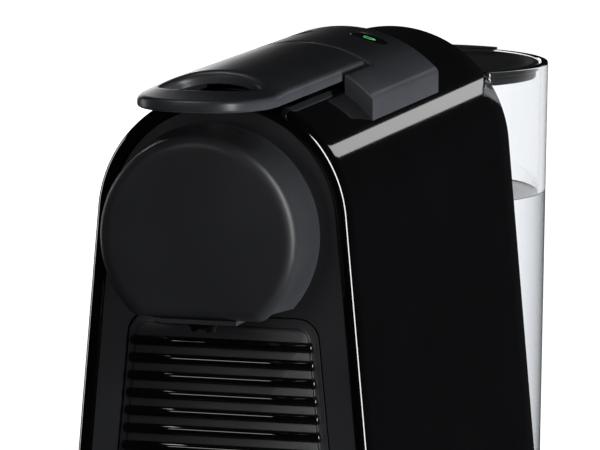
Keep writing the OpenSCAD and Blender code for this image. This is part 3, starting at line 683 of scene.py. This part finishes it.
def make_control_block():
    """The crowned block with a notch for the lever's end; its walls stand on the shell."""
    half = side_of("control_cover", 1, 0)
    front, back = side_of("control_cover", 0, 1), side_of("control_cover", 1, 1)
    notch_y = LEVER_REAR + 2.1
    edge = 1.1
    step_width = 0.05
    insets = [edge * (1 - c) for c, _ in quarter(6)]

    def lines(marks, widest):
        """Grid lines at each mark, close together on the side where its rounded edge lies."""
        out = {mark + side * i for mark, side in marks for i in (insets if side else [0])}
        return spread(sorted(out), widest)

    xs = lines([(-half, 1), (-NOTCH_HALF, -1), (-SLOT_HALF, 0), (0, 0), (SLOT_HALF, 0),
                (NOTCH_HALF, 1), (half, -1)], 2.2)
    ys = lines([(front, 1), (notch_y, 1), (NOTCH_Y[1] - step_width, 0), (NOTCH_Y[1], 0), (back, -1)], 4)

    def depth(x, y):
        """Distance in from the block's nearest edge, seen from above."""
        x = abs(x)
        away = [half - x, back - y]
        if y < notch_y:
            away += [x - NOTCH_HALF, y - front]
        elif x < NOTCH_HALF:
            away.append(y - notch_y)
        else:
            away.append(math.hypot(x - NOTCH_HALF, y - notch_y))
        return max(min(away), 0)

    def top(x, y):
        inset = min(depth(x, y), edge)
        return crown(x) - edge + math.sqrt(edge * edge - (edge - inset) ** 2)

    def bottom(x, y):
        """The walls reach the shell; over its slot and notch there is a thin skin only."""
        open_half = NOTCH_HALF if y < NOTCH_Y[1] - step_width / 5 else SLOT_HALF
        if abs(x) > open_half - step_width / 5:
            return ARCH_Z + math.sqrt(ARCH_R * ARCH_R - x * x)
        return crown(x) - COVER_SKIN

    across, along = len(xs), len(ys)

    def solid(i, j):
        if not (0 <= i < across - 1 and 0 <= j < along - 1):
            return False
        x, y = (xs[i] + xs[i + 1]) / 2, (ys[j] + ys[j + 1]) / 2
        return not (abs(x) < NOTCH_HALF and y < notch_y)

    verts = [(x, y, height(x, y)) for height in (top, bottom) for y in ys for x in xs]
    under = across * along
    faces = []
    for j in range(along - 1):
        for i in range(across - 1):
            if not solid(i, j):
                continue
            a = j * across + i
            b, c, d = a + 1, a + 1 + across, a + across
            faces += [(a, b, c, d), (d + under, c + under, b + under, a + under)]
            for p, q, beside in ((a, b, (i, j - 1)), (b, c, (i + 1, j)), (c, d, (i, j + 1)),
                                 (d, a, (i - 1, j))):
                if not solid(*beside):
                    faces.append((q, p, p + under, q + under))
    block = make_mesh("control_block", verts, faces)
    for side in (-1, 1):
        cut_round_hole(block, side * BUTTON_X, BUTTON_Y, BUTTON_R + 0.25)
    place(block, "body", "lever_charcoal", ["control_cover"], sharp=32)


# ---------- capsule container ----------

def front_half(z):
    """Half the width of the container's front at height z."""
    return CONTAINER_HALF + (LOUVRE_TOP - z) * math.tan(LEAN)


def container_ring(inset, low):
    """Outline of the container's front in X and Z, with rounded upper corners."""
    top = CONTAINER_TOP - inset
    corner = 7 - inset
    w = front_half(CONTAINER_TOP) - inset
    right = [(front_half(low) - inset, low)]
    right += arc(w - corner, top - corner, corner, 2, 90, 12)
    return right + [(-x, z) for x, z in reversed(right)]


def make_container_front():
    """The container's front plate with a raised rim, and its louvres."""
    low = side_of("container_front", 0, 2)
    y_back = side_of("container_front", 1, 1)
    plate = FRONT - 0.4
    bar_r = 1.6
    profile = ((0.5, y_back), (0, y_back - 0.5), (0, plate + 1.9), (0.15, plate + 1.5), (0.5, plate + 1.4),
               (2.6, plate + 1.4), (2.9, plate + 1.2), (2.9, plate + 0.3), (3.2, plate))
    verts, faces = loft([[(x, y, z) for x, z in container_ring(inset, low)] for inset, y in profile])
    place(make_mesh("container_face", verts, faces), "drip_unit", "satin_black", ["container_front"],
          sharp=50)
    for i in range(LOUVRES):
        z = LOUVRE_TOP - LOUVRE_PITCH * i
        half = front_half(z) - 2.6
        tips = [(0.9, 0.45), (0.6, 0.8)]
        stations = [(-half - out, size) for out, size in tips] + [(x, 1) for x in steps(-half, half, 4)]
        stations += [(half + out, size) for out, size in reversed(tips)]
        rings = []
        for x, size in stations:
            bar = [(plate + 0.6, bar_r * size)]
            bar += [(plate + y, q) for y, q in reversed(arc(0, 0, bar_r * size, -90, -270, 14))]
            bar += [(plate + 0.6, -bar_r * size)]
            rings.append([(x, y, z - bar_r + q) for y, q in bar])
        verts, faces = loft(rings)
        name = "louvre_%02d" % (i + 1)
        place(make_mesh(name, verts, faces), "drip_unit", "gloss_black", sharp=40)


# ---------- tank ----------

def tank_outline(z, d, corner=5.0):
    """Plan of the tank at height z, inset by d: a circle with a flat front."""
    r = TANK_LOW_R + (TANK_R - TANK_LOW_R) * (z - TANK_Z) / (TANK_TOP - TANK_Z) - d
    flat = TANK_FRONT + d - TANK_Y
    return [(x, TANK_Y + y) for x, y in clipped_circle(r, flat, max(corner - d, 1.0))]


def tank_ring(z, d):
    """The tank's plan at height z, inset by d, as points in space."""
    return [(x, y, z) for x, y in tank_outline(z, d)]


def make_tank():
    """The clear wall, swept up outside, over the rim and down inside, and the water it holds."""
    bottom_r = 4.0
    inner_r = 2.0
    rings = [tank_ring(TANK_Z + bottom_r * (1 - s), bottom_r * (1 - c)) for c, s in reversed(quarter(6))]
    walls = spread([TANK_Z + bottom_r + 0.4, TANK_TOP - 0.9], 12)
    rings += [tank_ring(z, 0) for z in walls]
    rim = [(0.5, 0), (0.15, 0.15), (0, 0.5)]
    rings += [tank_ring(TANK_TOP - drop, d) for drop, d in rim]
    rings += [tank_ring(TANK_TOP - drop, TANK_WALL - d) for drop, d in reversed(rim)]
    rings += [tank_ring(z, TANK_WALL) for z in reversed(walls)]
    rings += [tank_ring(TANK_Z + TANK_WALL + inner_r * (1 - s), TANK_WALL + inner_r * (1 - c))
              for c, s in reversed(quarter(6))]
    verts, faces = loft(rings)
    place(make_mesh("water_tank_wall", verts, faces), "tank", "clear_tank", ["water_tank"], sharp=60)
    floor_z = TANK_Z + TANK_WALL
    in_wall = TANK_WALL - 0.08
    profile = [(floor_z - 0.1, TANK_WALL + 2), (floor_z + 1, TANK_WALL + 0.6)]
    profile += [(z, in_wall) for z in spread([floor_z + 2.2, WATER_TOP - 0.3], 12)]
    profile += [(WATER_TOP, in_wall), (WATER_TOP - 0.3, TANK_WALL + 0.5),
                (WATER_TOP - 0.42, TANK_WALL + 1.4), (WATER_TOP - 0.45, TANK_WALL + 3)]
    verts, faces = loft([tank_ring(z, d) for z, d in profile])
    place(make_mesh("water", verts, faces), "tank", None, material=make_water(), sharp=60)


def make_lid():
    """The lid's plate with its skirt inside the tank's rim."""
    inset = TANK_WALL + 0.6
    top = TANK_TOP - 0.2
    low = side_of("tank_lid", 0, 2)
    edge = 0.6
    profile = [(low, 2.6), (low, 1.3), (low + 0.3, 1), (top - 2.2, 1), (top - 2.0, 0.2), (top - 1.7, 0),
               (top - 1.2, 0), (top - 0.8, 0)]
    profile += [(top - edge * (1 - s), edge * (1 - c)) for c, s in quarter(5)]
    profile += [(top, 1.2), (top, 2.4), (top - 0.25, 2.7), (top - 0.25, 8), (top - 0.25, 20)]
    under = [(low, 2.6), (top - 2.2, 2.6), (top - 2.2, 20)]
    verts, faces = loft([tank_ring(z, inset + d) for z, d in profile], cap_start=False)
    verts_under, faces_under = loft([tank_ring(z, inset + d) for z, d in under], cap_start=False)
    faces += [tuple(i + len(verts) for i in f) for f in faces_under]
    lid = make_mesh("tank_lid_plate", verts + verts_under, faces)
    place(lid, "tank_lid", "satin_black", ["tank_lid"], sharp=50)


def make_lid_tab(name, half, outer_y, edge_y):
    """A thin tab over the rim: outer_y gives its outer edge from x and a shrink, edge_y its inner edge."""
    inward = 1 if edge_y > outer_y(0, 0) else -1
    rings = []
    for lift, shrink in ((0.05, 0.25), (0.25, 0), (0.55, 0), (0.77, 0.1), (0.85, 0.4)):
        z = TANK_TOP + lift
        w = half - shrink
        outer = [(x, outer_y(x, shrink), z) for x in steps(w, -w, 24)]
        inner = [(x, edge_y - inward * shrink, z) for x in steps(-w, w, 24)]
        rings.append(outer + inner)
    foot = [(x, y, TANK_TOP - 0.4) if abs(y - edge_y) < 3 else (x, y, z) for x, y, z in rings[0]]
    verts, faces = loft([foot] + rings)
    place(make_mesh(name, verts, faces), "tank_lid", "satin_black", sharp=45)


# ---------- stage and light ----------

FLOOR_HALF = 12000
SHOULDER = (33, -10, 181)
STRIP_ROLL = -42


def lamp(name, toward, size, brightness, distance=1500, centre=(0, -20, 120), roll=0):
    """A soft lamp seen from the object along toward; brightness is its radiance, roll turns its face."""
    data = bpy.data.lights.new(name, "AREA")
    data.shape = "RECTANGLE"
    data.size, data.size_y = (s * MM for s in size)
    data.energy = brightness * math.pi * data.size * data.size_y
    obj = bpy.data.objects.new(name, data)
    away = Vector(toward).normalized()
    obj.location = (Vector(centre) + away * distance) * MM
    obj.rotation_mode = "QUATERNION"
    obj.rotation_quaternion = away.to_track_quat("Z", "Y") @ Quaternion((0, 0, 1), math.radians(roll))
    obj.visible_camera = False
    obj.visible_transmission = False
    scene.collection.objects.link(obj)
    return obj


def heading(azimuth, elevation):
    """Direction at an azimuth from +Y towards +X and an elevation, in degrees."""
    a, e = math.radians(azimuth), math.radians(elevation)
    return (math.sin(a) * math.cos(e), math.cos(a) * math.cos(e), math.sin(e))


def make_floor():
    """A white paper floor that the machine neither reflects nor is lit by."""
    corners = [(-FLOOR_HALF, -FLOOR_HALF, 0), (FLOOR_HALF, -FLOOR_HALF, 0),
               (FLOOR_HALF, FLOOR_HALF, 0), (-FLOOR_HALF, FLOOR_HALF, 0)]
    floor = add_mesh("floor", corners, [(0, 1, 2, 3)])
    paper = bpy.data.materials.new("floor_paper")
    paper.use_nodes = True
    put(paper.node_tree.nodes["Principled BSDF"], Base_Color=(0.8, 0.8, 0.8, 1), Roughness=0.9,
        Emission_Color=(1, 1, 1, 1), Emission_Strength=1.0)
    floor.data.materials.append(paper)
    floor.visible_glossy = False
    floor.visible_diffuse = False
    floor.visible_shadow = False
    floor.visible_transmission = False


def make_world():
    """White behind the machine, nearly dark in its reflections, and shaded through the clear tank."""
    world = bpy.data.worlds.new("studio")
    scene.world = world
    world.use_nodes = True
    tree = world.node_tree

    def background(node, colour, strength):
        node = node or tree.nodes.new("ShaderNodeBackground")
        node.inputs["Color"].default_value = colour
        node.inputs["Strength"].default_value = strength
        return node

    def choose(factor, shader, other):
        mix = tree.nodes.new("ShaderNodeMixShader")
        tree.links.new(factor, mix.inputs["Fac"])
        tree.links.new(shader, mix.inputs[1])
        tree.links.new(other, mix.inputs[2])
        return mix.outputs["Shader"]

    dark = background(tree.nodes["Background"], (0.5, 0.52, 0.56, 1), 0.012)
    bright = background(None, (1, 1, 1, 1), 1.0)
    through = background(None, (0.96, 0.975, 1, 1), 1.0)
    coords = tree.nodes.new("ShaderNodeTexCoord")
    along = tree.nodes.new("ShaderNodeVectorMath")
    along.operation = "DOT_PRODUCT"
    along.inputs[1].default_value = (-0.284, 0.959, 0)
    fall = tree.nodes.new("ShaderNodeMapRange")
    for name, value in (("From Min", 0.35), ("From Max", 0.88), ("To Min", 0.3), ("To Max", 1.12)):
        fall.inputs[name].default_value = value
    tree.links.new(coords.outputs["Generated"], along.inputs[0])
    tree.links.new(along.outputs["Value"], fall.inputs["Value"])
    tree.links.new(fall.outputs["Result"], through.inputs["Strength"])
    path = tree.nodes.new("ShaderNodeLightPath")
    seen = choose(path.outputs["Is Camera Ray"], dark.outputs["Background"], bright.outputs["Background"])
    every = choose(path.outputs["Is Transmission Ray"], seen, through.outputs["Background"])
    tree.links.new(every, tree.nodes["World Output"].inputs["Surface"])
    scene.view_settings.view_transform = "Standard"


def make_lamps():
    """Soft lamps; front and right light the plastics but are not mirrored in the gloss."""
    lamp("strip_back_right", heading(13.7, 12.1), (900, 265), 1.15, 4000, SHOULDER, STRIP_ROLL)
    lamp("panel_back_left", heading(-28, 7), (420, 480), 3.5)
    front = lamp("front", (-0.2, -0.95, 0.2), (600, 600), 8)
    front.visible_glossy = False
    right = lamp("right", heading(88, -20), (420, 420), 230)
    right.visible_glossy = False
    lamp("rim_left", heading(-74, 5), (220, 900), 4)
    lamp("louvre_left", (-0.28, -0.85, 0.43), (170, 200), 5)
    lamp("front_right", (0.68, -0.72, 0.25), (260, 1500), 16)
    lamp("overhead", (-0.28, -0.25, 0.93), (320, 250), 10)


# ---------- the CAD pieces that show as they are ----------

# Bevel widths.
SOFTENED = {
    "front_panel": 0.4, "rear_panel": 0.6, "head_ring": 0.5, "coffee_outlet": 0.5,
    "drip_tray": 0.7, "drip_grid": 0.3, "capsule_container": 0.5, "tank_dock": 0.8,
    "rubber_feet": 0.4, "lever_frame": 0.3, "brew_frame": 0.4, "link_arms": 0.3, "capsule_cage": 0.4,
    "cage_stem": 0.3, "thermoblock": 0.6, "pump_body": 0.4, "pump_coil": 0.6, "cord_gland": 0.4,
    "base_plate": 0.4, "flow_meter_body": 0.3, "board_parts": 0.4, "tank_valve": 0.3, "brew_head": 0.5,
}


def dress_cad_nodes():
    """Give each CAD piece its slot's finish, and soften the edges of those that are seen."""
    record = frame["record"]
    slots = {part["node"]: part["material_slot"] for part in record["subparts"]}
    for name, obj in nodes.items():
        obj.data.materials.clear()
        obj.data.materials.append(finishes[slots[name]])
        smooth(obj, 35)
        if name in SOFTENED:
            soft_edges(obj, SOFTENED[name])
            even_shading(obj)


sign_grey = finish_of("sign_grey", (0.06, 0.08, 0.065), 0.5, bump=0.0)
make_camera()
dress_cad_nodes()
make_body_shell()
make_head_cover()
make_nozzle()
make_lever_cover()
make_button("espresso_button_cap", -1, "espresso_button", "espresso_button", False)
make_button("lungo_button_cap", 1, "lungo_button", "lungo_button", True)
make_control_block()
make_container_front()
make_tank()
make_lid()
make_lid_tab("lid_tab_back", 18, lambda x, shrink: TANK_Y + math.sqrt((TANK_R - shrink) ** 2 - x * x),
             TANK_Y + TANK_R - 14)
make_lid_tab("lid_tab_front", 12, lambda x, shrink: TANK_FRONT + shrink, TANK_FRONT + 9)
make_floor()
make_world()
make_lamps()
